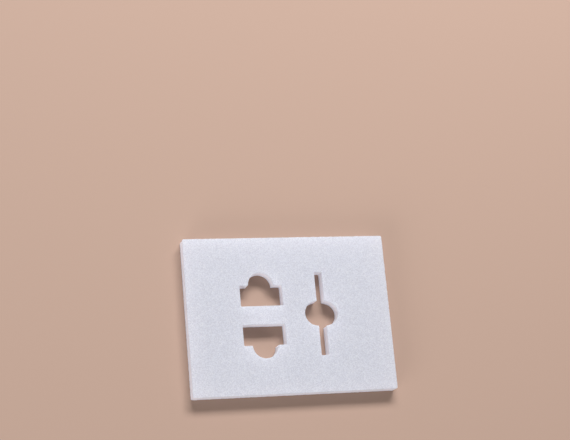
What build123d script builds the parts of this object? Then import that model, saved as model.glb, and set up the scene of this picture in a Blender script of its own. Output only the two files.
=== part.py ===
from build123d import *
from math import atan2, degrees
import os

# Foam packaging insert: one slab of white closed-cell polyethylene foam that drops into a
# shipping carton. Steel knives cut three openings right through it: two rectangular pockets,
# mirrored front to back, each with a half-round finger scoop in its outer long side, and a
# long narrow slot with an oval finger hole across its middle.
# Millimetres. X runs along the slab's long side, Y from front to back and Z up.
# The origin is the middle of the underside.

# Slab
slab_length = 250.0
slab_width = 190.0
slab_thickness = 16.0
slab_corner_radius = 2.0

# Pockets
pocket_length = 52.0
pocket_width = 25.0
pocket_spacing = 22.5       # foam left standing between the two pockets
scoop_radius = 15.5         # centred on the pocket's outer long side

# Slot and finger hole
slot_length = 101.5
slot_width = 9.5
finger_hole_length = 41.0   # across the slot
finger_hole_width = 31.0    # along the slot
finger_hole_side_radius = 32.0

# Layout and knife
pocket_to_hole = 26.0       # foam left standing between the pockets and the finger hole
knife_bend_radius = 0.8     # tightest bend in the knife, at every corner of an opening
corner_tolerance = 0.01     # how far off the slot's long side its corners may be found

# The three openings are centred on the slab as one group
group_length = pocket_length + pocket_to_hole + finger_hole_length
pocket_x = (pocket_length - group_length) / 2
hole_x = (group_length - finger_hole_length) / 2
pocket_y = (pocket_spacing + pocket_width) / 2

# The finger hole is an oval of four arcs, a flat one along each side and a tighter one round
# each end. The end radius follows from the rest, so that the arcs meet without a kink.
hole_half_length = finger_hole_length / 2
hole_half_width = finger_hole_width / 2
side_rise = 2 * finger_hole_side_radius * hole_half_width - hole_half_length**2 - hole_half_width**2
end_radius = side_rise / (2 * (finger_hole_side_radius - hole_half_length))
end_centre = hole_half_length - end_radius
side_centre = finger_hole_side_radius - hole_half_width
end_half_angle = degrees(atan2(side_centre, end_centre))

# Mouth of the rear pocket, with its scoop towards the back
with BuildSketch() as pocket_mouth:
    Rectangle(pocket_length, pocket_width)
    with Locations((0, pocket_width / 2)):
        Circle(scoop_radius)
    fillet(pocket_mouth.vertices(), knife_bend_radius)

# Mouth of the slot and its finger hole. Every corner to be eased, at the slot's ends and where
# its sides run into the oval, lies on one of the slot's long sides.
with BuildSketch() as slot_mouth:
    Rectangle(slot_width, slot_length)
    with BuildLine():
        right_end = CenterArc((end_centre, 0), end_radius, -end_half_angle, 2 * end_half_angle)
        far_side = CenterArc(
            (0, -side_centre), finger_hole_side_radius, end_half_angle, 180 - 2 * end_half_angle
        )
        mirror(right_end, about=Plane.YZ)
        mirror(far_side, about=Plane.XZ)
    make_face()
    slot_corners = slot_mouth.vertices().filter_by(
        lambda corner: abs(abs(corner.X) - slot_width / 2) < corner_tolerance
    )
    fillet(slot_corners, knife_bend_radius)

# The slab, with the three mouths cut straight down through it
with BuildPart() as foam_insert:
    with BuildSketch():
        RectangleRounded(slab_length, slab_width, slab_corner_radius)
    extrude(amount=slab_thickness)
    with BuildSketch():
        with Locations((pocket_x, pocket_y)):
            add(pocket_mouth.sketch)
        mirror(about=Plane.XZ)
        with Locations((hole_x, 0)):
            add(slot_mouth.sketch)
    extrude(amount=slab_thickness, mode=Mode.SUBTRACT)

foam_insert.part.label = "foam_insert"

os.makedirs("parts", exist_ok=True)
export_step(foam_insert.part, "parts/foam_insert.step")
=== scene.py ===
"""Looks of a foam packaging insert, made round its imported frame.

The insert is one slab of white expanded polyethylene foam. Its outside is sawn from a
thick block and its three openings are cut straight through by steel knives. The slab is
drawn here with the pillowy skin, the cut-open cells and the slightly ragged edges that
such foam has, at the sizes of the frame. Metres throughout, origin in the middle of the
underside, +X along the long side, +Y to the back.
"""

from __future__ import annotations

import logging
import math
from dataclasses import dataclass, field
from enum import Enum
from typing import Any

import bpy
import numpy as np
from mathutils import Matrix, Vector
from mathutils.geometry import delaunay_2d_cdt
from mathutils.kdtree import KDTree


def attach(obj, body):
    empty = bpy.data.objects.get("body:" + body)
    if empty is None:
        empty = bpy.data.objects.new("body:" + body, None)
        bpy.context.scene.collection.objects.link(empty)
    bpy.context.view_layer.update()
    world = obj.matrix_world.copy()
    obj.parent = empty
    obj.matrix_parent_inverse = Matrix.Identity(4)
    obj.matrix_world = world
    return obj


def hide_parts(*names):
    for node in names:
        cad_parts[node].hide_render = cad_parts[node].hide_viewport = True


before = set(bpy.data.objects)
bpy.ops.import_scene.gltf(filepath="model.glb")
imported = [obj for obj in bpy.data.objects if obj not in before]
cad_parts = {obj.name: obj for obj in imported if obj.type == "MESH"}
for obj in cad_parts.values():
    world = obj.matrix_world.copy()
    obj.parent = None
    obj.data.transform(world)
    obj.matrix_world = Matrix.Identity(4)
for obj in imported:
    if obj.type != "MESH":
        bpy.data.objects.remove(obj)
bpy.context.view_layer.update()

MM = 0.001
# A mix node's sockets go by number, because those for numbers and colours share their names
NUMBER_A = 2
NUMBER_B = 3
COLOUR_A = 6
COLOUR_B = 7
COLOUR_MIXED = 2
# A point of the plan that is on no outline
NO_OUTLINE = -1

log = logging.getLogger("foam_insert")


class Cut(Enum):
    """How an edge of the foam was made, with how ragged the tool leaves it, in metres."""

    SAWN = 0.42 * MM
    KNIFE = 0.14 * MM


def linear(shade: str) -> tuple[float, float, float, float]:
    """Turns a written colour into the light it stands for.

    Args:
        shade: sRGB colour as six hex digits after a #.

    Returns:
        Linear red, green, blue and an alpha of 1.
    """
    parts = [int(shade[i : i + 2], 16) / 255 for i in (1, 3, 5)]
    light = [c / 12.92 if c <= 0.04045 else ((c + 0.055) / 1.055) ** 2.4 for c in parts]
    return (light[0], light[1], light[2], 1.0)


def add(
    tree: bpy.types.NodeTree,
    kind: str,
    sockets: dict[str | int, Any] | None = None,
    **settings: Any,
) -> bpy.types.Node:
    """Adds one node to a tree, for shading or for shape.

    Args:
        tree: Tree that the node goes into.
        kind: Blender's name for the node.
        sockets: Input name or number, with the value it takes or the output it is fed by.
        **settings: Properties of the node, set before its sockets.

    Returns:
        The new node.
    """
    made = tree.nodes.new(kind)
    for name, value in settings.items():
        setattr(made, name, value)
    for key, value in (sockets or {}).items():
        if isinstance(value, bpy.types.NodeSocket):
            tree.links.new(value, made.inputs[key])
        else:
            made.inputs[key].default_value = value
    return made


@dataclass
class Walk:
    """A closed line walked round the foam's plan, with the foam always on its left.

    It is kept as runs of points, with the direction into the foam at each.
    """

    step: float
    points: list[tuple[float, float]] = field(default_factory=list)
    inward: list[tuple[float, float]] = field(default_factory=list)

    def line(self, start: tuple[float, float], end: tuple[float, float]) -> None:
        """Walks a straight edge, leaving out its last point.

        Args:
            start: Where the edge starts.
            end: Where it ends.
        """
        dx, dy = end[0] - start[0], end[1] - start[1]
        length = math.hypot(dx, dy)
        count = max(1, round(length / self.step))
        for i in range(count):
            t = i / count
            self.points.append((start[0] + dx * t, start[1] + dy * t))
            self.inward.append((-dy / length, dx / length))

    def arc(
        self, centre: tuple[float, float], radius: float, start: float, sweep: float
    ) -> None:
        """Walks an arc, leaving out its last point.

        Args:
            centre: Middle of the arc.
            radius: Its radius.
            start: Angle of its first point, in radians.
            sweep: Angle it covers, in radians, below zero for clockwise.
        """
        count = max(3, round(radius * abs(sweep) / self.step))
        turn = math.copysign(1, sweep)
        for i in range(count):
            a = start + sweep * i / count
            self.points.append(
                (centre[0] + radius * math.cos(a), centre[1] + radius * math.sin(a))
            )
            self.inward.append((-turn * math.cos(a), -turn * math.sin(a)))

    def placed(self, x: float, y: float, flip: bool = False) -> Walk:
        """Moves the walk to its place on the slab.

        Args:
            x: Shift to the right.
            y: Shift to the back.
            flip: Whether it is first mirrored front to back.

        Returns:
            A new walk, still with the foam on its left.
        """
        side = -1 if flip else 1
        return Walk(
            self.step,
            [(px + x, side * py + y) for px, py in self.points][::side],
            [(nx, side * ny) for nx, ny in self.inward][::side],
        )


@dataclass(frozen=True)
class Pocket:
    """Rectangular pocket with a half-round finger scoop in its outer long side."""

    length: float = 52.0 * MM
    width: float = 25.0 * MM
    scoop_radius: float = 15.5 * MM
    bend: float = 0.8 * MM

    def mouth(self, step: float) -> Walk:
        """Outlines the pocket round its own middle, with the scoop to the back.

        Args:
            step: Spacing of the points.

        Returns:
            The walk, clockwise, so that the foam is on its left.
        """
        x, y, r, scoop = self.length / 2, self.width / 2, self.bend, self.scoop_radius
        lead = math.sqrt((scoop + r) ** 2 - r**2)
        turn = math.atan2(r, lead)
        quarter = math.pi / 2
        walk = Walk(step)
        walk.line((x - r, -y), (-x + r, -y))
        walk.arc((-x + r, -y + r), r, -quarter, -quarter)
        walk.line((-x, -y + r), (-x, y - r))
        walk.arc((-x + r, y - r), r, 2 * quarter, -quarter)
        walk.line((-x + r, y), (-lead, y))
        walk.arc((-lead, y + r), r, -quarter, quarter - turn)
        walk.arc((0, y), scoop, math.pi - turn, -math.pi + 2 * turn)
        walk.arc((lead, y + r), r, math.pi + turn, quarter - turn)
        walk.line((lead, y), (x - r, y))
        walk.arc((x - r, y - r), r, quarter, -quarter)
        walk.line((x, y - r), (x, -y + r))
        walk.arc((x - r, -y + r), r, 0, -quarter)
        return walk


@dataclass(frozen=True)
class FingerSlot:
    """Long narrow slot with an oval finger hole across its middle."""

    length: float = 101.5 * MM
    width: float = 9.5 * MM
    hole_length: float = 41.0 * MM
    hole_width: float = 31.0 * MM
    hole_side_radius: float = 32.0 * MM
    bend: float = 0.8 * MM

    def mouth(self, step: float) -> Walk:
        """Outlines the slot and its oval round their own middle.

        Args:
            step: Spacing of the points.

        Returns:
            The walk, clockwise, so that the foam is on its left.
        """
        w, h, r, side = self.width / 2, self.length / 2, self.bend, self.hole_side_radius
        a, b = self.hole_length / 2, self.hole_width / 2
        end = (2 * side * b - a**2 - b**2) / (2 * (side - a))
        end_x, side_y = a - end, side - b
        join = math.atan2(side_y, end_x)
        ease_x = w + r
        ease_y = math.sqrt((side + r) ** 2 - ease_x**2) - side_y
        lean = math.atan2(ease_y + side_y, ease_x)
        quarter, half = math.pi / 2, math.pi
        walk = Walk(step)
        for s in (1, -1):
            base = 0 if s == 1 else half
            walk.line((-s * (w - r), s * h), (s * (w - r), s * h))
            walk.arc((s * (w - r), s * (h - r)), r, base + quarter, -quarter)
            walk.line((s * w, s * (h - r)), (s * w, s * ease_y))
            walk.arc((s * ease_x, s * ease_y), r, base + half, lean)
            walk.arc((0, -s * side_y), side, base + lean, join - lean)
            walk.arc((s * end_x, 0), end, base + join, -2 * join)
            walk.arc((0, s * side_y), side, base - join, join - lean)
            walk.arc((s * ease_x, -s * ease_y), r, base + half - lean, lean)
            walk.line((s * w, -s * ease_y), (s * w, -s * (h - r)))
            walk.arc((s * (w - r), -s * (h - r)), r, base, -quarter)
        return walk


@dataclass(frozen=True)
class CellFoam:
    """White expanded polyethylene, extruded in a thick sheet, closed-celled.

    Each cell is a thin-walled bubble, so the skin is a field of small soft pillows with a
    waxy, broken gloss. The foam is white but lets about half of the light in, which comes
    out again all over, so that its cut walls glow down to their foot. Where a tool went
    through, the bubbles lie open as shallow cups. The cut walls are also painted whiter
    than the skin, most of all part way down, which is painted light for that glow.
    """

    colour: str = "#F3F7FF"
    shade: str = "#DEE1E9"
    # Painted highlight: the near-white that a few cells are drawn in, standing in for glints
    # of the lamp
    painted_glint: str = "#F7FAFF"
    painted_glint_from: float = 0.85
    painted_glint_full: float = 0.98
    # Painted light: the cut walls are drawn near-white, standing in for light glowing through
    # the foam onto them
    cut_glow_colour: str = "#FFFCFF"
    cut_glow_cover: float = 0.85
    skin_through: float = 0.55
    cut_through: float = 0.6
    scatter: float = 0.5
    scatter_depth: float = 4.0 * MM
    roughness_low: float = 0.42
    roughness_high: float = 0.68
    ior: float = 1.5
    cell: float = 0.95 * MM
    cell_height: float = 0.2 * MM
    cell_chance: float = 0.75
    cell_crown: float = 1.0
    wrinkle: float = 0.38 * MM
    mottle: float = 9.0 * MM
    mottle_low: float = 0.35
    mottle_high: float = 0.65
    mottle_swing: float = 0.02

    def material(self) -> bpy.types.Material:
        """Mixes the foam's material.

        Returns:
            The node material.
        """
        made = bpy.data.materials.new("white_polyethylene_foam")
        made.use_nodes = True
        tree = made.node_tree
        tree.nodes.clear()
        place = add(tree, "ShaderNodeTexCoord").outputs["Object"]
        # A cell is about 1 mm across, a little less than a pixel of the photograph
        cells = add(
            tree,
            "ShaderNodeTexVoronoi",
            {"Vector": place, "Scale": 1 / self.cell},
            feature="F1",
        )
        chance = add(tree, "ShaderNodeSeparateColor", {"Color": cells.outputs["Color"]})
        # Painted light: this mark whitens the cut walls part way down, and also lets more
        # light through them
        glowing_walls = add(tree, "ShaderNodeAttribute", attribute_name="cut_wall_glow")
        glow_cover = add(
            tree,
            "ShaderNodeMapRange",
            {"Value": glowing_walls.outputs["Fac"], "To Max": self.cut_glow_cover},
        )
        skin = self._skin_colour(tree, place, cells, chance)
        body = add(
            tree,
            "ShaderNodeMix",
            {0: glow_cover.outputs[0], COLOUR_A: skin, COLOUR_B: linear(self.cut_glow_colour)},
            data_type="RGBA",
        )
        gloss = add(
            tree,
            "ShaderNodeMapRange",
            {
                "Value": chance.outputs["Green"],
                "To Min": self.roughness_low,
                "To Max": self.roughness_high,
            },
        )
        normal = self._relief(tree, place, cells)
        back = add(
            tree,
            "ShaderNodeBsdfPrincipled",
            {
                "Base Color": body.outputs[COLOUR_MIXED],
                "Roughness": gloss.outputs[0],
                "IOR": self.ior,
                "Subsurface Weight": self.scatter,
                "Subsurface Radius": (1.0, 1.0, 1.0),
                "Subsurface Scale": self.scatter_depth,
                "Normal": normal,
            },
        )
        through = add(
            tree,
            "ShaderNodeBsdfTranslucent",
            {"Color": body.outputs[COLOUR_MIXED], "Normal": normal},
        )
        share = add(
            tree,
            "ShaderNodeMapRange",
            {
                "Value": glow_cover.outputs[0],
                "To Min": self.skin_through,
                "To Max": self.cut_through,
            },
        )
        foam = add(
            tree,
            "ShaderNodeMixShader",
            {0: share.outputs[0], 1: back.outputs[0], 2: through.outputs[0]},
        )
        add(tree, "ShaderNodeOutputMaterial", {"Surface": foam.outputs[0]})
        return made

    def _skin_colour(
        self,
        tree: bpy.types.NodeTree,
        place: bpy.types.NodeSocket,
        cells: bpy.types.Node,
        chance: bpy.types.Node,
    ) -> bpy.types.NodeSocket:
        """Colours the skin cell by cell, lightest at a cell's middle, with faint blotches,
        and a few cells painted near-white as painted glints of the lamp.

        Args:
            tree: The material's tree.
            place: Where on the foam.
            cells: The pattern of cells.
            chance: Three random numbers for each cell.

        Returns:
            The skin's colour.
        """
        crown = add(
            tree,
            "ShaderNodeMapRange",
            {
                "Value": cells.outputs["Distance"],
                "To Min": self.cell_crown / 2,
                "To Max": -self.cell_crown / 2,
            },
            clamp=False,
        )
        uneven = add(
            tree,
            "ShaderNodeMath",
            {0: chance.outputs["Red"], 1: self.cell_chance, 2: crown.outputs[0]},
            operation="MULTIPLY_ADD",
        )
        mottle = add(
            tree,
            "ShaderNodeTexNoise",
            {"Vector": place, "Scale": 1 / self.mottle, "Detail": 3.0, "Roughness": 0.6},
        )
        middle = (1 - self.cell_chance) / 2
        blotch = add(
            tree,
            "ShaderNodeMapRange",
            {
                "Value": mottle.outputs["Fac"],
                "From Min": self.mottle_low,
                "From Max": self.mottle_high,
                "To Min": middle - self.mottle_swing,
                "To Max": middle + self.mottle_swing,
            },
        )
        lightness = add(
            tree,
            "ShaderNodeMath",
            {0: uneven.outputs[0], 1: blotch.outputs[0]},
            operation="ADD",
            use_clamp=True,
        )
        ground = add(
            tree,
            "ShaderNodeMix",
            {
                0: lightness.outputs[0],
                COLOUR_A: linear(self.shade),
                COLOUR_B: linear(self.colour),
            },
            data_type="RGBA",
        )
        # Painted highlight: about one cell in ten is drawn brighter, as glints where a cell's
        # film catches the lamp
        painted_glint_share = add(
            tree,
            "ShaderNodeMapRange",
            {
                "Value": chance.outputs["Blue"],
                "From Min": self.painted_glint_from,
                "From Max": self.painted_glint_full,
            },
        )
        skin = add(
            tree,
            "ShaderNodeMix",
            {
                0: painted_glint_share.outputs[0],
                COLOUR_A: ground.outputs[COLOUR_MIXED],
                COLOUR_B: linear(self.painted_glint),
            },
            data_type="RGBA",
        )
        return skin.outputs[COLOUR_MIXED]

    def _relief(
        self,
        tree: bpy.types.NodeTree,
        place: bpy.types.NodeSocket,
        cells: bpy.types.Node,
    ) -> bpy.types.NodeSocket:
        """Domes each cell and wrinkles its skin.

        Args:
            tree: The material's tree.
            place: Where on the foam.
            cells: The pattern of cells.

        Returns:
            The normal that the relief gives.
        """
        dome = add(
            tree,
            "ShaderNodeMath",
            {0: cells.outputs["Distance"], 1: cells.outputs["Distance"]},
            operation="MULTIPLY",
        )
        wrinkles = add(
            tree,
            "ShaderNodeTexNoise",
            {"Vector": place, "Scale": 1 / self.wrinkle, "Detail": 2.0},
        )
        height = add(
            tree,
            "ShaderNodeMath",
            {0: dome.outputs[0], 1: -1.0, 2: wrinkles.outputs["Fac"]},
            operation="MULTIPLY_ADD",
        )
        bump = add(
            tree,
            "ShaderNodeBump",
            {"Height": height.outputs[0], "Strength": 1.0, "Distance": self.cell_height},
        )
        return bump.outputs[0]


@dataclass(frozen=True)
class CutSlabNodes:
    """Geometry nodes that grow the flat plan of a slab into cut foam.

    The plan is pulled up in rows, closed below, its rims eased, its edges made ragged and
    its faces raised into cells. Every size is an input of the tree.
    """

    name: str = "cut_foam_slab"
    seed: float = 7.0
    weld: float = 0.01 * MM
    blade_stretch: float = 4.0
    blade_low: float = 0.25
    blade_high: float = 0.75
    ragged_reach: float = 1.2 * MM
    cell_softness: float = 0.35
    # Painted light: how far below a rim the cut wall's painted whitening is full
    glow_from_rim: float = 6.0 * MM

    def build(self, material: bpy.types.Material) -> bpy.types.NodeTree:
        """Builds the tree.

        Args:
            material: What the foam is dressed in.

        Returns:
            The geometry node tree.
        """
        tree = bpy.data.node_groups.new(self.name, "GeometryNodeTree")
        face = tree.interface
        face.new_socket("Plan", in_out="INPUT", socket_type="NodeSocketGeometry")
        for label in (
            "Thickness",
            "Rim Radius",
            "Pillow Size",
            "Pillow Height",
            "Swell Size",
            "Swell Height",
            "Cup Size",
            "Cup Depth",
            "Ragged Pitch",
        ):
            face.new_socket(label, in_out="INPUT", socket_type="NodeSocketFloat")
        face.new_socket("Rows", in_out="INPUT", socket_type="NodeSocketInt")
        face.new_socket("Foam", in_out="OUTPUT", socket_type="NodeSocketGeometry")
        given = add(tree, "NodeGroupInput").outputs

        slab = self._raised(tree, given)
        eased = self._eased(tree, given, slab)
        ragged = self._ragged(tree, given, eased)
        celled = self._celled(tree, given, ragged)

        smooth = add(tree, "GeometryNodeSetShadeSmooth", {"Geometry": celled})
        real = add(tree, "GeometryNodeRealizeInstances", {"Geometry": smooth.outputs[0]})
        dressed = add(
            tree,
            "GeometryNodeSetMaterial",
            {"Geometry": real.outputs[0], "Material": material},
        )
        add(tree, "NodeGroupOutput", {"Foam": dressed.outputs[0]})
        return tree

    def _raised(
        self, tree: bpy.types.NodeTree, given: bpy.types.NodeOutputs
    ) -> bpy.types.NodeSocket:
        """Pulls the plan up row by row and closes it below.

        Args:
            tree: The tree.
            given: The tree's inputs.

        Returns:
            The closed slab.
        """
        rise = add(
            tree,
            "ShaderNodeMath",
            {0: given["Thickness"], 1: given["Rows"]},
            operation="DIVIDE",
        )
        up = add(tree, "ShaderNodeCombineXYZ", {"Z": rise.outputs[0]})
        start = add(tree, "GeometryNodeRepeatInput", {"Iterations": given["Rows"]})
        stop = add(tree, "GeometryNodeRepeatOutput")
        start.pair_with_output(stop)
        stop.repeat_items.new("BOOLEAN", "Lid")
        tree.links.new(given["Plan"], start.inputs["Geometry"])
        start.inputs["Lid"].default_value = True
        pulled = add(
            tree,
            "GeometryNodeExtrudeMesh",
            {
                "Mesh": start.outputs["Geometry"],
                "Selection": start.outputs["Lid"],
                "Offset": up.outputs[0],
                "Offset Scale": 1.0,
                "Individual": False,
            },
            mode="FACES",
        )
        tree.links.new(pulled.outputs["Mesh"], stop.inputs["Geometry"])
        tree.links.new(pulled.outputs["Top"], stop.inputs["Lid"])
        floor = add(tree, "GeometryNodeFlipFaces", {"Mesh": given["Plan"]})
        both = add(tree, "GeometryNodeJoinGeometry", {"Geometry": stop.outputs["Geometry"]})
        tree.links.new(floor.outputs[0], both.inputs["Geometry"])
        closed = add(
            tree,
            "GeometryNodeMergeByDistance",
            {"Geometry": both.outputs[0], "Distance": self.weld},
        )
        return closed.outputs[0]

    def _eased(
        self,
        tree: bpy.types.NodeTree,
        given: bpy.types.NodeOutputs,
        slab: bpy.types.NodeSocket,
    ) -> bpy.types.NodeSocket:
        """Rounds the rims where the skin meets a cut.

        Args:
            tree: The tree.
            given: The tree's inputs.
            slab: The closed slab.

        Returns:
            The slab with eased rims.
        """
        depth = add(
            tree,
            "GeometryNodeInputNamedAttribute",
            {"Name": "edge_depth"},
            data_type="FLOAT",
        )
        short = add(
            tree,
            "ShaderNodeMath",
            {0: given["Rim Radius"], 1: depth.outputs["Attribute"]},
            operation="SUBTRACT",
        )
        short = add(tree, "ShaderNodeMath", {0: short.outputs[0], 1: 0.0}, operation="MAXIMUM")
        # The rim is a quarter circle, so a point's height on it follows from its distance in
        squares = [
            add(tree, "ShaderNodeMath", {0: length, 1: 2.0}, operation="POWER")
            for length in (given["Rim Radius"], short.outputs[0])
        ]
        rest = add(
            tree,
            "ShaderNodeMath",
            {0: squares[0].outputs[0], 1: squares[1].outputs[0]},
            operation="SUBTRACT",
        )
        height = add(tree, "ShaderNodeMath", {0: rest.outputs[0]}, operation="SQRT")
        drop = add(
            tree,
            "ShaderNodeMath",
            {0: given["Rim Radius"], 1: height.outputs[0]},
            operation="SUBTRACT",
        )
        top = add(
            tree,
            "ShaderNodeMath",
            {0: given["Thickness"], 1: drop.outputs[0]},
            operation="SUBTRACT",
        )
        here = add(tree, "GeometryNodeInputPosition")
        parts = add(tree, "ShaderNodeSeparateXYZ", {"Vector": here.outputs[0]})
        level = add(
            tree,
            "ShaderNodeMapRange",
            {
                "Value": parts.outputs["Z"],
                "From Max": given["Thickness"],
                "To Min": drop.outputs[0],
                "To Max": top.outputs[0],
            },
        )
        target = add(
            tree,
            "ShaderNodeCombineXYZ",
            {"X": parts.outputs["X"], "Y": parts.outputs["Y"], "Z": level.outputs[0]},
        )
        moved = add(
            tree,
            "GeometryNodeSetPosition",
            {"Geometry": slab, "Position": target.outputs[0]},
        )
        return moved.outputs[0]

    def _ragged(
        self,
        tree: bpy.types.NodeTree,
        given: bpy.types.NodeOutputs,
        slab: bpy.types.NodeSocket,
    ) -> bpy.types.NodeSocket:
        """Draws the cut edges in and out as the tool left them.

        Args:
            tree: The tree.
            given: The tree's inputs.
            slab: The eased slab.

        Returns:
            The slab with ragged edges.
        """
        here = add(tree, "GeometryNodeInputPosition")
        # A blade leaves long upright marks, so the pattern is drawn out along the thickness
        stretched = add(
            tree,
            "ShaderNodeVectorMath",
            {0: here.outputs[0], 1: (1.0, 1.0, 1 / self.blade_stretch)},
            operation="MULTIPLY",
        )
        scale = add(
            tree, "ShaderNodeMath", {0: 1.0, 1: given["Ragged Pitch"]}, operation="DIVIDE"
        )
        noise = add(
            tree,
            "ShaderNodeTexNoise",
            {
                "Vector": stretched.outputs[0],
                "W": self.seed,
                "Scale": scale.outputs[0],
                "Detail": 2.0,
            },
            noise_dimensions="4D",
        )
        swing = add(
            tree,
            "ShaderNodeMapRange",
            {
                "Value": noise.outputs["Fac"],
                "From Min": self.blade_low,
                "From Max": self.blade_high,
                "To Min": -0.5,
                "To Max": 0.5,
            },
        )
        depth, ragged, inward = (
            add(tree, "GeometryNodeInputNamedAttribute", {"Name": name}, data_type=kind)
            for name, kind in (
                ("edge_depth", "FLOAT"),
                ("ragged", "FLOAT"),
                ("inward", "FLOAT_VECTOR"),
            )
        )
        fade = add(
            tree,
            "ShaderNodeMapRange",
            {
                "Value": depth.outputs["Attribute"],
                "From Max": self.ragged_reach,
                "To Min": 1.0,
                "To Max": 0.0,
            },
        )
        near = add(
            tree,
            "ShaderNodeMath",
            {0: swing.outputs[0], 1: fade.outputs[0]},
            operation="MULTIPLY",
        )
        size = add(
            tree,
            "ShaderNodeMath",
            {0: near.outputs[0], 1: ragged.outputs["Attribute"]},
            operation="MULTIPLY",
        )
        push = add(
            tree,
            "ShaderNodeVectorMath",
            {0: inward.outputs["Attribute"], "Scale": size.outputs[0]},
            operation="SCALE",
        )
        moved = add(
            tree,
            "GeometryNodeSetPosition",
            {"Geometry": slab, "Offset": push.outputs[0]},
        )
        return moved.outputs[0]

    def _celled(
        self,
        tree: bpy.types.NodeTree,
        given: bpy.types.NodeOutputs,
        slab: bpy.types.NodeSocket,
    ) -> bpy.types.NodeSocket:
        """Raises the skin into pillows and sinks the cut walls into cups.

        Args:
            tree: The tree.
            given: The tree's inputs.
            slab: The ragged slab.

        Returns:
            The finished shape.
        """
        here = add(tree, "GeometryNodeInputPosition").outputs[0]
        depth = add(
            tree,
            "GeometryNodeInputNamedAttribute",
            {"Name": "edge_depth"},
            data_type="FLOAT",
        )
        cut = add(
            tree,
            "ShaderNodeMapRange",
            {
                "Value": depth.outputs["Attribute"],
                "From Max": given["Rim Radius"],
                "To Min": 1.0,
                "To Max": 0.0,
            },
        ).outputs[0]
        height = add(
            tree,
            "ShaderNodeMix",
            {
                0: cut,
                NUMBER_A: self._skin_height(tree, given, here),
                NUMBER_B: self._cup(tree, given, here),
            },
        )
        normal = add(tree, "GeometryNodeInputNormal").outputs[0]
        lift = add(
            tree,
            "ShaderNodeVectorMath",
            {0: normal, "Scale": height.outputs[0]},
            operation="SCALE",
        )
        moved = add(
            tree,
            "GeometryNodeSetPosition",
            {"Geometry": slab, "Offset": lift.outputs[0]},
        )
        # Close to a rim the cut wall keeps the skin's colour; further down it is painted
        # whiter, which is painted light for the glow through the foam
        level = add(tree, "ShaderNodeSeparateXYZ", {"Vector": here}).outputs["Z"]
        from_top = add(
            tree,
            "ShaderNodeMath",
            {0: given["Thickness"], 1: level},
            operation="SUBTRACT",
        )
        from_rim = add(
            tree,
            "ShaderNodeMath",
            {0: level, 1: from_top.outputs[0]},
            operation="MINIMUM",
        )
        below = add(
            tree,
            "ShaderNodeMapRange",
            {
                "Value": from_rim.outputs[0],
                "From Min": given["Rim Radius"],
                "From Max": self.glow_from_rim,
            },
        )
        wall_glow_share = add(
            tree, "ShaderNodeMath", {0: cut, 1: below.outputs[0]}, operation="MULTIPLY"
        )
        kept = add(
            tree,
            "GeometryNodeStoreNamedAttribute",
            {
                "Geometry": moved.outputs[0],
                "Name": "cut_wall_glow",
                "Value": wall_glow_share.outputs[0],
            },
            data_type="FLOAT",
            domain="POINT",
        )
        return kept.outputs[0]

    def _bowls(
        self,
        tree: bpy.types.NodeTree,
        here: bpy.types.NodeSocket,
        size: bpy.types.NodeSocket,
        height: bpy.types.NodeSocket,
    ) -> bpy.types.NodeSocket:
        """Gives a field of round bowls that meet in soft ridges.

        Args:
            tree: The tree.
            here: Where on the slab.
            size: How wide a bowl is.
            height: How high a ridge can be.

        Returns:
            Height over the bottom of the bowls.
        """
        scale = add(tree, "ShaderNodeMath", {0: 1.0, 1: size}, operation="DIVIDE")
        cells = add(
            tree,
            "ShaderNodeTexVoronoi",
            {
                "Vector": here,
                "W": self.seed,
                "Scale": scale.outputs[0],
                "Smoothness": self.cell_softness,
            },
            voronoi_dimensions="4D",
            feature="SMOOTH_F1",
        )
        bowl = add(
            tree,
            "ShaderNodeMath",
            {0: cells.outputs["Distance"], 1: 2.0},
            operation="POWER",
        )
        raised = add(
            tree, "ShaderNodeMath", {0: bowl.outputs[0], 1: height}, operation="MULTIPLY"
        )
        return raised.outputs[0]

    def _skin_height(
        self,
        tree: bpy.types.NodeTree,
        given: bpy.types.NodeOutputs,
        here: bpy.types.NodeSocket,
    ) -> bpy.types.NodeSocket:
        """Works out how far the skin stands out, with its pillows on a broad slow swell.

        Args:
            tree: The tree.
            given: The tree's inputs.
            here: Where on the slab.

        Returns:
            The skin's height.
        """
        bowls = self._bowls(tree, here, given["Pillow Size"], given["Pillow Height"])
        pillow = add(tree, "ShaderNodeMath", {0: bowls, 1: -1.0}, operation="MULTIPLY")
        scale = add(
            tree, "ShaderNodeMath", {0: 1.0, 1: given["Swell Size"]}, operation="DIVIDE"
        )
        noise = add(
            tree,
            "ShaderNodeTexNoise",
            {"Vector": here, "W": self.seed, "Scale": scale.outputs[0], "Detail": 1.0},
            noise_dimensions="4D",
        )
        either_way = add(
            tree, "ShaderNodeMath", {0: noise.outputs["Fac"], 1: 0.5}, operation="SUBTRACT"
        )
        swell = add(
            tree,
            "ShaderNodeMath",
            {0: either_way.outputs[0], 1: given["Swell Height"]},
            operation="MULTIPLY",
        )
        skin = add(
            tree,
            "ShaderNodeMath",
            {0: pillow.outputs[0], 1: swell.outputs[0]},
            operation="ADD",
        )
        return skin.outputs[0]

    def _cup(
        self,
        tree: bpy.types.NodeTree,
        given: bpy.types.NodeOutputs,
        here: bpy.types.NodeSocket,
    ) -> bpy.types.NodeSocket:
        """Works out how far a cut wall sinks into its open cells.

        Args:
            tree: The tree.
            given: The tree's inputs.
            here: Where on the slab.

        Returns:
            The wall's height, never above the cut.
        """
        bowls = self._bowls(tree, here, given["Cup Size"], given["Cup Depth"])
        cup = add(
            tree, "ShaderNodeMath", {0: bowls, 1: given["Cup Depth"]}, operation="SUBTRACT"
        )
        return cup.outputs[0]


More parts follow.
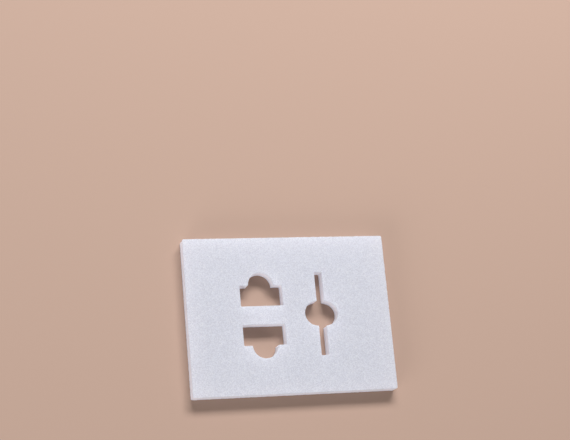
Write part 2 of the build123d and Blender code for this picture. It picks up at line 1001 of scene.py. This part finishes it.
@dataclass
class PlanPoints:
    """Points of the slab's plan, each with what the shape has to know of it."""

    place: list[tuple[float, float]] = field(default_factory=list)
    depth: list[float] = field(default_factory=list)
    inward: list[tuple[float, float, float]] = field(default_factory=list)
    ragged: list[float] = field(default_factory=list)
    outline: list[int] = field(default_factory=list)

    def put(
        self,
        place: tuple[float, float],
        depth: float,
        inward: tuple[float, float] = (0.0, 0.0),
        ragged: float = 0.0,
        outline: int = NO_OUTLINE,
    ) -> None:
        """Adds one point.

        Args:
            place: Where it is.
            depth: How deep in the foam it is, from the nearest cut.
            inward: Which way the foam lies from that cut, or nothing well inside.
            ragged: How ragged that cut is, or nothing well inside.
            outline: Number of the outline that it is on, if it is on one.
        """
        self.place.append(place)
        self.depth.append(depth)
        self.inward.append((*inward, 0.0))
        self.ragged.append(ragged)
        self.outline.append(outline)


@dataclass
class FoamSlab:
    """The insert itself: one slab with two scooped pockets and a slotted finger hole."""

    length: float = 250.0 * MM
    width: float = 190.0 * MM
    thickness: float = 16.0 * MM
    corner_radius: float = 2.0 * MM
    pocket_spacing: float = 22.5 * MM
    pocket_to_hole: float = 26.0 * MM
    pocket: Pocket = Pocket()
    slot: FingerSlot = FingerSlot()
    foam: CellFoam = CellFoam()
    shape: CutSlabNodes = CutSlabNodes()
    rim_radius: float = 0.35 * MM
    flat_ring: float = 1.5
    grid_step: float = 1.15 * MM
    grid_wobble: float = 0.22
    grid_clearance: float = 0.62
    plan_slack: float = 1e-5
    seed: int = 11
    rows: int = 13
    # Cells of 1 mm are too fine for the mesh, so its pillows and cups are about 3 mm across
    sizes: dict[str, float] = field(
        default_factory=lambda: {
            "Pillow Size": 3.2 * MM,
            "Pillow Height": 0.09 * MM,
            "Swell Size": 14.0 * MM,
            "Swell Height": 0.08 * MM,
            "Cup Size": 2.6 * MM,
            "Cup Depth": 0.3 * MM,
            "Ragged Pitch": 5.0 * MM,
        }
    )

    def outlines(self) -> list[tuple[Walk, Cut]]:
        """Walks the slab's edge and its three openings.

        Returns:
            Each walk, with the foam on its left, and the tool that cut there.
        """
        x, y, r, step = self.length / 2, self.width / 2, self.corner_radius, self.grid_step
        quarter = math.pi / 2
        edge = Walk(step)
        edge.line((-x + r, -y), (x - r, -y))
        edge.arc((x - r, -y + r), r, -quarter, quarter)
        edge.line((x, -y + r), (x, y - r))
        edge.arc((x - r, y - r), r, 0, quarter)
        edge.line((x - r, y), (-x + r, y))
        edge.arc((-x + r, y - r), r, quarter, quarter)
        edge.line((-x, y - r), (-x, -y + r))
        edge.arc((-x + r, -y + r), r, 2 * quarter, quarter)

        group = self.pocket.length + self.pocket_to_hole + self.slot.hole_length
        pocket_x = (self.pocket.length - group) / 2
        pocket_y = (self.pocket_spacing + self.pocket.width) / 2
        hole_x = (group - self.slot.hole_length) / 2
        mouth = self.pocket.mouth(step)
        return [
            (edge, Cut.SAWN),
            (mouth.placed(pocket_x, pocket_y), Cut.KNIFE),
            (mouth.placed(pocket_x, -pocket_y, flip=True), Cut.KNIFE),
            (self.slot.mouth(step).placed(hole_x, 0), Cut.KNIFE),
        ]

    def plan(self) -> bpy.types.Object:
        """Lays out the slab's plan as a flat sheet of even triangles.

        Each point knows how deep in the foam it is, which way the foam lies and how
        ragged the nearest cut is.

        Returns:
            The sheet, at the origin.
        """
        outlines = self.outlines()
        rim = self.rim_radius
        rings = (0.0, rim * (1 - math.sqrt(0.5)), rim, rim * self.flat_ring)
        points = PlanPoints()
        edges = self._put_rings(points, outlines, rings)
        clear = rings[-1] + self.grid_clearance * self.grid_step
        self._put_grid(points, outlines, clear)

        # The triangulation is worked out in millimetres, which its slack is meant for
        flat = [Vector((px / MM, py / MM)) for px, py in points.place]
        co, _, faces, origin, _, _ = delaunay_2d_cdt(flat, edges, [], 0, self.plan_slack)
        if len(co) != len(flat) or any(len(o) != 1 for o in origin):
            raise RuntimeError("two points of the slab's plan fall together")
        order = [o[0] for o in origin]
        kept = []
        for face in faces:
            # A face with every corner on the edge of one opening lies in that opening
            a, b, c = (points.outline[order[v]] for v in face)
            if not (a == b == c and a > 0):
                kept.append(list(face))
        mesh = bpy.data.meshes.new("plan")
        mesh.from_pydata([(v[0] * MM, v[1] * MM, 0) for v in co], [], kept)
        if mesh.polygons[0].normal.z < 0:
            mesh.flip_normals()
        for name, kind, key, values in (
            ("edge_depth", "FLOAT", "value", points.depth),
            ("ragged", "FLOAT", "value", points.ragged),
            ("inward", "FLOAT_VECTOR", "vector", points.inward),
        ):
            layer = mesh.attributes.new(name, kind, "POINT")
            flat_values = np.array([values[o] for o in order], np.float32).ravel()
            layer.data.foreach_set(key, flat_values)
        sheet = bpy.data.objects.new("plan", mesh)
        bpy.context.scene.collection.objects.link(sheet)
        return sheet

    def _put_rings(
        self,
        points: PlanPoints,
        outlines: list[tuple[Walk, Cut]],
        rings: tuple[float, ...],
    ) -> list[tuple[int, int]]:
        """Lines each outline with rows of points, close together where the rim bends.

        Args:
            points: Points so far, which the new ones are added to.
            outlines: Each walk with the tool that cut there.
            rings: How far into the foam each row lies.

        Returns:
            Pairs of points that an edge has to join.
        """
        edges = []
        for number, (walk, cut) in enumerate(outlines):
            count = len(walk.points)
            for ring in rings:
                first = len(points.place)
                outline = number if ring == 0.0 else NO_OUTLINE
                for p, n in zip(walk.points, walk.inward):
                    place = (p[0] + n[0] * ring, p[1] + n[1] * ring)
                    points.put(place, ring, n, cut.value, outline)
                edges += [(first + i, first + (i + 1) % count) for i in range(count)]
        return edges

    def _put_grid(
        self, points: PlanPoints, outlines: list[tuple[Walk, Cut]], clear: float
    ) -> None:
        """Fills the foam between the outlines with a shaken honeycomb of points.

        Args:
            points: Points so far, which the new ones are added to.
            outlines: Each walk with the tool that cut there.
            clear: How far from an outline the first of them is.
        """
        near = KDTree(sum(len(walk.points) for walk, _ in outlines))
        normals = []
        for walk, _ in outlines:
            for p, n in zip(walk.points, walk.inward):
                near.insert((p[0], p[1], 0), len(normals))
                normals.append(n)
        near.balance()
        rng = np.random.default_rng(self.seed)
        row_step = self.grid_step * math.sqrt(3) / 2
        for j in range(int(self.width / row_step) + 1):
            for i in range(int(self.length / self.grid_step) + 1):
                wobble = rng.uniform(-self.grid_wobble, self.grid_wobble, 2) * self.grid_step
                px = -self.length / 2 + (i + 0.5 * (j % 2)) * self.grid_step + wobble[0]
                py = -self.width / 2 + j * row_step + wobble[1]
                q, k, away = near.find((px, py, 0))
                side = (px - q[0]) * normals[k][0] + (py - q[1]) * normals[k][1]
                if side >= 0 and away >= clear:
                    points.put((px, py), away)

    def build(self) -> bpy.types.Object:
        """Grows the plan into the finished slab of foam.

        Returns:
            The slab's object, a plain mesh at the origin.
        """
        sheet = self.plan()
        tree = self.shape.build(self.foam.material())
        grow = sheet.modifiers.new("grow", "NODES")
        grow.node_group = tree
        values: dict[str, float | int] = {
            **self.sizes,
            "Thickness": self.thickness,
            "Rim Radius": self.rim_radius,
            "Rows": self.rows,
        }
        for item in tree.interface.items_tree:
            if item.item_type == "SOCKET" and item.name in values:
                grow[item.identifier] = values[item.name]
        sheet.update_tag()
        seen = sheet.evaluated_get(bpy.context.evaluated_depsgraph_get())
        mesh = bpy.data.meshes.new_from_object(seen)
        mesh.name = "foam_slab"
        bpy.data.objects.remove(sheet)
        slab = bpy.data.objects.new("foam_slab", mesh)
        bpy.context.scene.collection.objects.link(slab)
        return slab

    def dress(self, slab: bpy.types.Object) -> None:
        """Gives the slab its place in the frame.

        Args:
            slab: The finished slab.
        """
        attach(slab, "root")
        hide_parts("foam_insert")


@dataclass(frozen=True)
class Studio:
    """Plain pale floor, soft lamps and the camera at the photograph's angle."""

    floor_colour: str = "#AD9282"
    sky_colour: str = "#C8B3A7"
    floor_size: float = 12.0
    lamp_colour: str = "#FBFCFF"
    around: float = 0.342
    key_power: float = 123.0
    key_size: tuple[float, float] = (2.2, 0.85)
    key_place: tuple[float, float, float] = (0.4, 2.1, 2.12)
    fill_power: float = 56.0
    fill_size: tuple[float, float] = (2.4, 1.0)
    fill_place: tuple[float, float, float] = (-2.1, -2.05, 0.9)
    stand: tuple[float, float, float] = (-0.45715, -0.34131, 1.60414)
    aim: tuple[float, float, float] = (0.00384, 0.11678, 0.016)
    upright: tuple[float, float, float] = (0.01354, 0.95969, 0.28074)
    lens: float = 89.27
    sensor: float = 36.0

    def floor(self) -> None:
        """Lays the floor of matt, uncoated paper, which gives no glint."""
        half = self.floor_size / 2
        mesh = bpy.data.meshes.new("floor")
        corners = [(-half, -half, 0), (half, -half, 0), (half, half, 0), (-half, half, 0)]
        mesh.from_pydata(corners, [], [(0, 1, 2, 3)])
        paper = bpy.data.materials.new("matt_floor_paper")
        paper.use_nodes = True
        tree = paper.node_tree
        tree.nodes.clear()
        shader = add(
            tree,
            "ShaderNodeBsdfPrincipled",
            {
                "Base Color": linear(self.floor_colour),
                "Roughness": 0.9,
                "Specular IOR Level": 0.2,
            },
        )
        add(tree, "ShaderNodeOutputMaterial", {"Surface": shader.outputs[0]})
        mesh.materials.append(paper)
        floor = bpy.data.objects.new("floor", mesh)
        bpy.context.scene.collection.objects.link(floor)

    def lamps(self) -> None:
        """Hangs a big soft lamp behind the slab and a weaker one in front."""
        for name, place, size, power in (
            ("key", self.key_place, self.key_size, self.key_power),
            ("fill", self.fill_place, self.fill_size, self.fill_power),
        ):
            lamp = bpy.data.lights.new(name, "AREA")
            lamp.shape = "RECTANGLE"
            lamp.size, lamp.size_y = size
            lamp.energy = power
            lamp.color = linear(self.lamp_colour)[:3]
            hung = bpy.data.objects.new(name, lamp)
            hung.location = place
            hung.rotation_mode = "QUATERNION"
            hung.rotation_quaternion = (-Vector(place)).to_track_quat("-Z", "Y")
            bpy.context.scene.collection.objects.link(hung)

    def surround(self) -> None:
        """Glows softly all round, and is a plain wall to the eye and in reflections."""
        world = bpy.data.worlds.new("studio")
        world.use_nodes = True
        tree = world.node_tree
        tree.nodes.clear()
        rays = add(tree, "ShaderNodeLightPath")
        seen = add(
            tree,
            "ShaderNodeMath",
            {0: rays.outputs["Is Camera Ray"], 1: rays.outputs["Is Glossy Ray"]},
            operation="ADD",
        )
        seen = add(
            tree,
            "ShaderNodeMath",
            {0: seen.outputs[0], 1: rays.outputs["Is Transmission Ray"]},
            operation="ADD",
            use_clamp=True,
        )
        glow = add(
            tree,
            "ShaderNodeBackground",
            {"Color": linear(self.lamp_colour), "Strength": self.around},
        )
        wall = add(
            tree,
            "ShaderNodeBackground",
            {"Color": linear(self.sky_colour), "Strength": 1.0},
        )
        mix = add(
            tree,
            "ShaderNodeMixShader",
            {0: seen.outputs[0], 1: glow.outputs[0], 2: wall.outputs[0]},
        )
        add(tree, "ShaderNodeOutputWorld", {"Surface": mix.outputs[0]})
        bpy.context.scene.world = world

    def camera(self) -> None:
        """Stands the camera where the photograph was taken from."""
        data = bpy.data.cameras.new("camera")
        data.lens = self.lens
        data.sensor_width = self.sensor
        camera = bpy.data.objects.new("camera", data)
        ahead = (Vector(self.aim) - Vector(self.stand)).normalized()
        right = ahead.cross(Vector(self.upright)).normalized()
        up = right.cross(ahead)
        turn = Matrix((right, up, -ahead)).transposed()
        camera.matrix_world = Matrix.Translation(Vector(self.stand)) @ turn.to_4x4()
        bpy.context.scene.collection.objects.link(camera)
        bpy.context.scene.camera = camera

    def set_up(self) -> None:
        """Builds the whole studio."""
        self.floor()
        self.lamps()
        self.surround()
        self.camera()
        bpy.context.scene.view_settings.view_transform = "Standard"


def main() -> None:
    """Builds the insert and its studio, in order."""
    logging.basicConfig(level=logging.INFO, format="%(name)s: %(message)s")
    log.info("frame holds %s", ", ".join(sorted(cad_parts)))
    slab = FoamSlab()
    piece = slab.build()
    slab.dress(piece)
    log.info(
        "%s: %d triangles",
        piece.name,
        sum(len(face.vertices) - 2 for face in piece.data.polygons),
    )
    Studio().set_up()


if __name__ == "__main__":
    main()
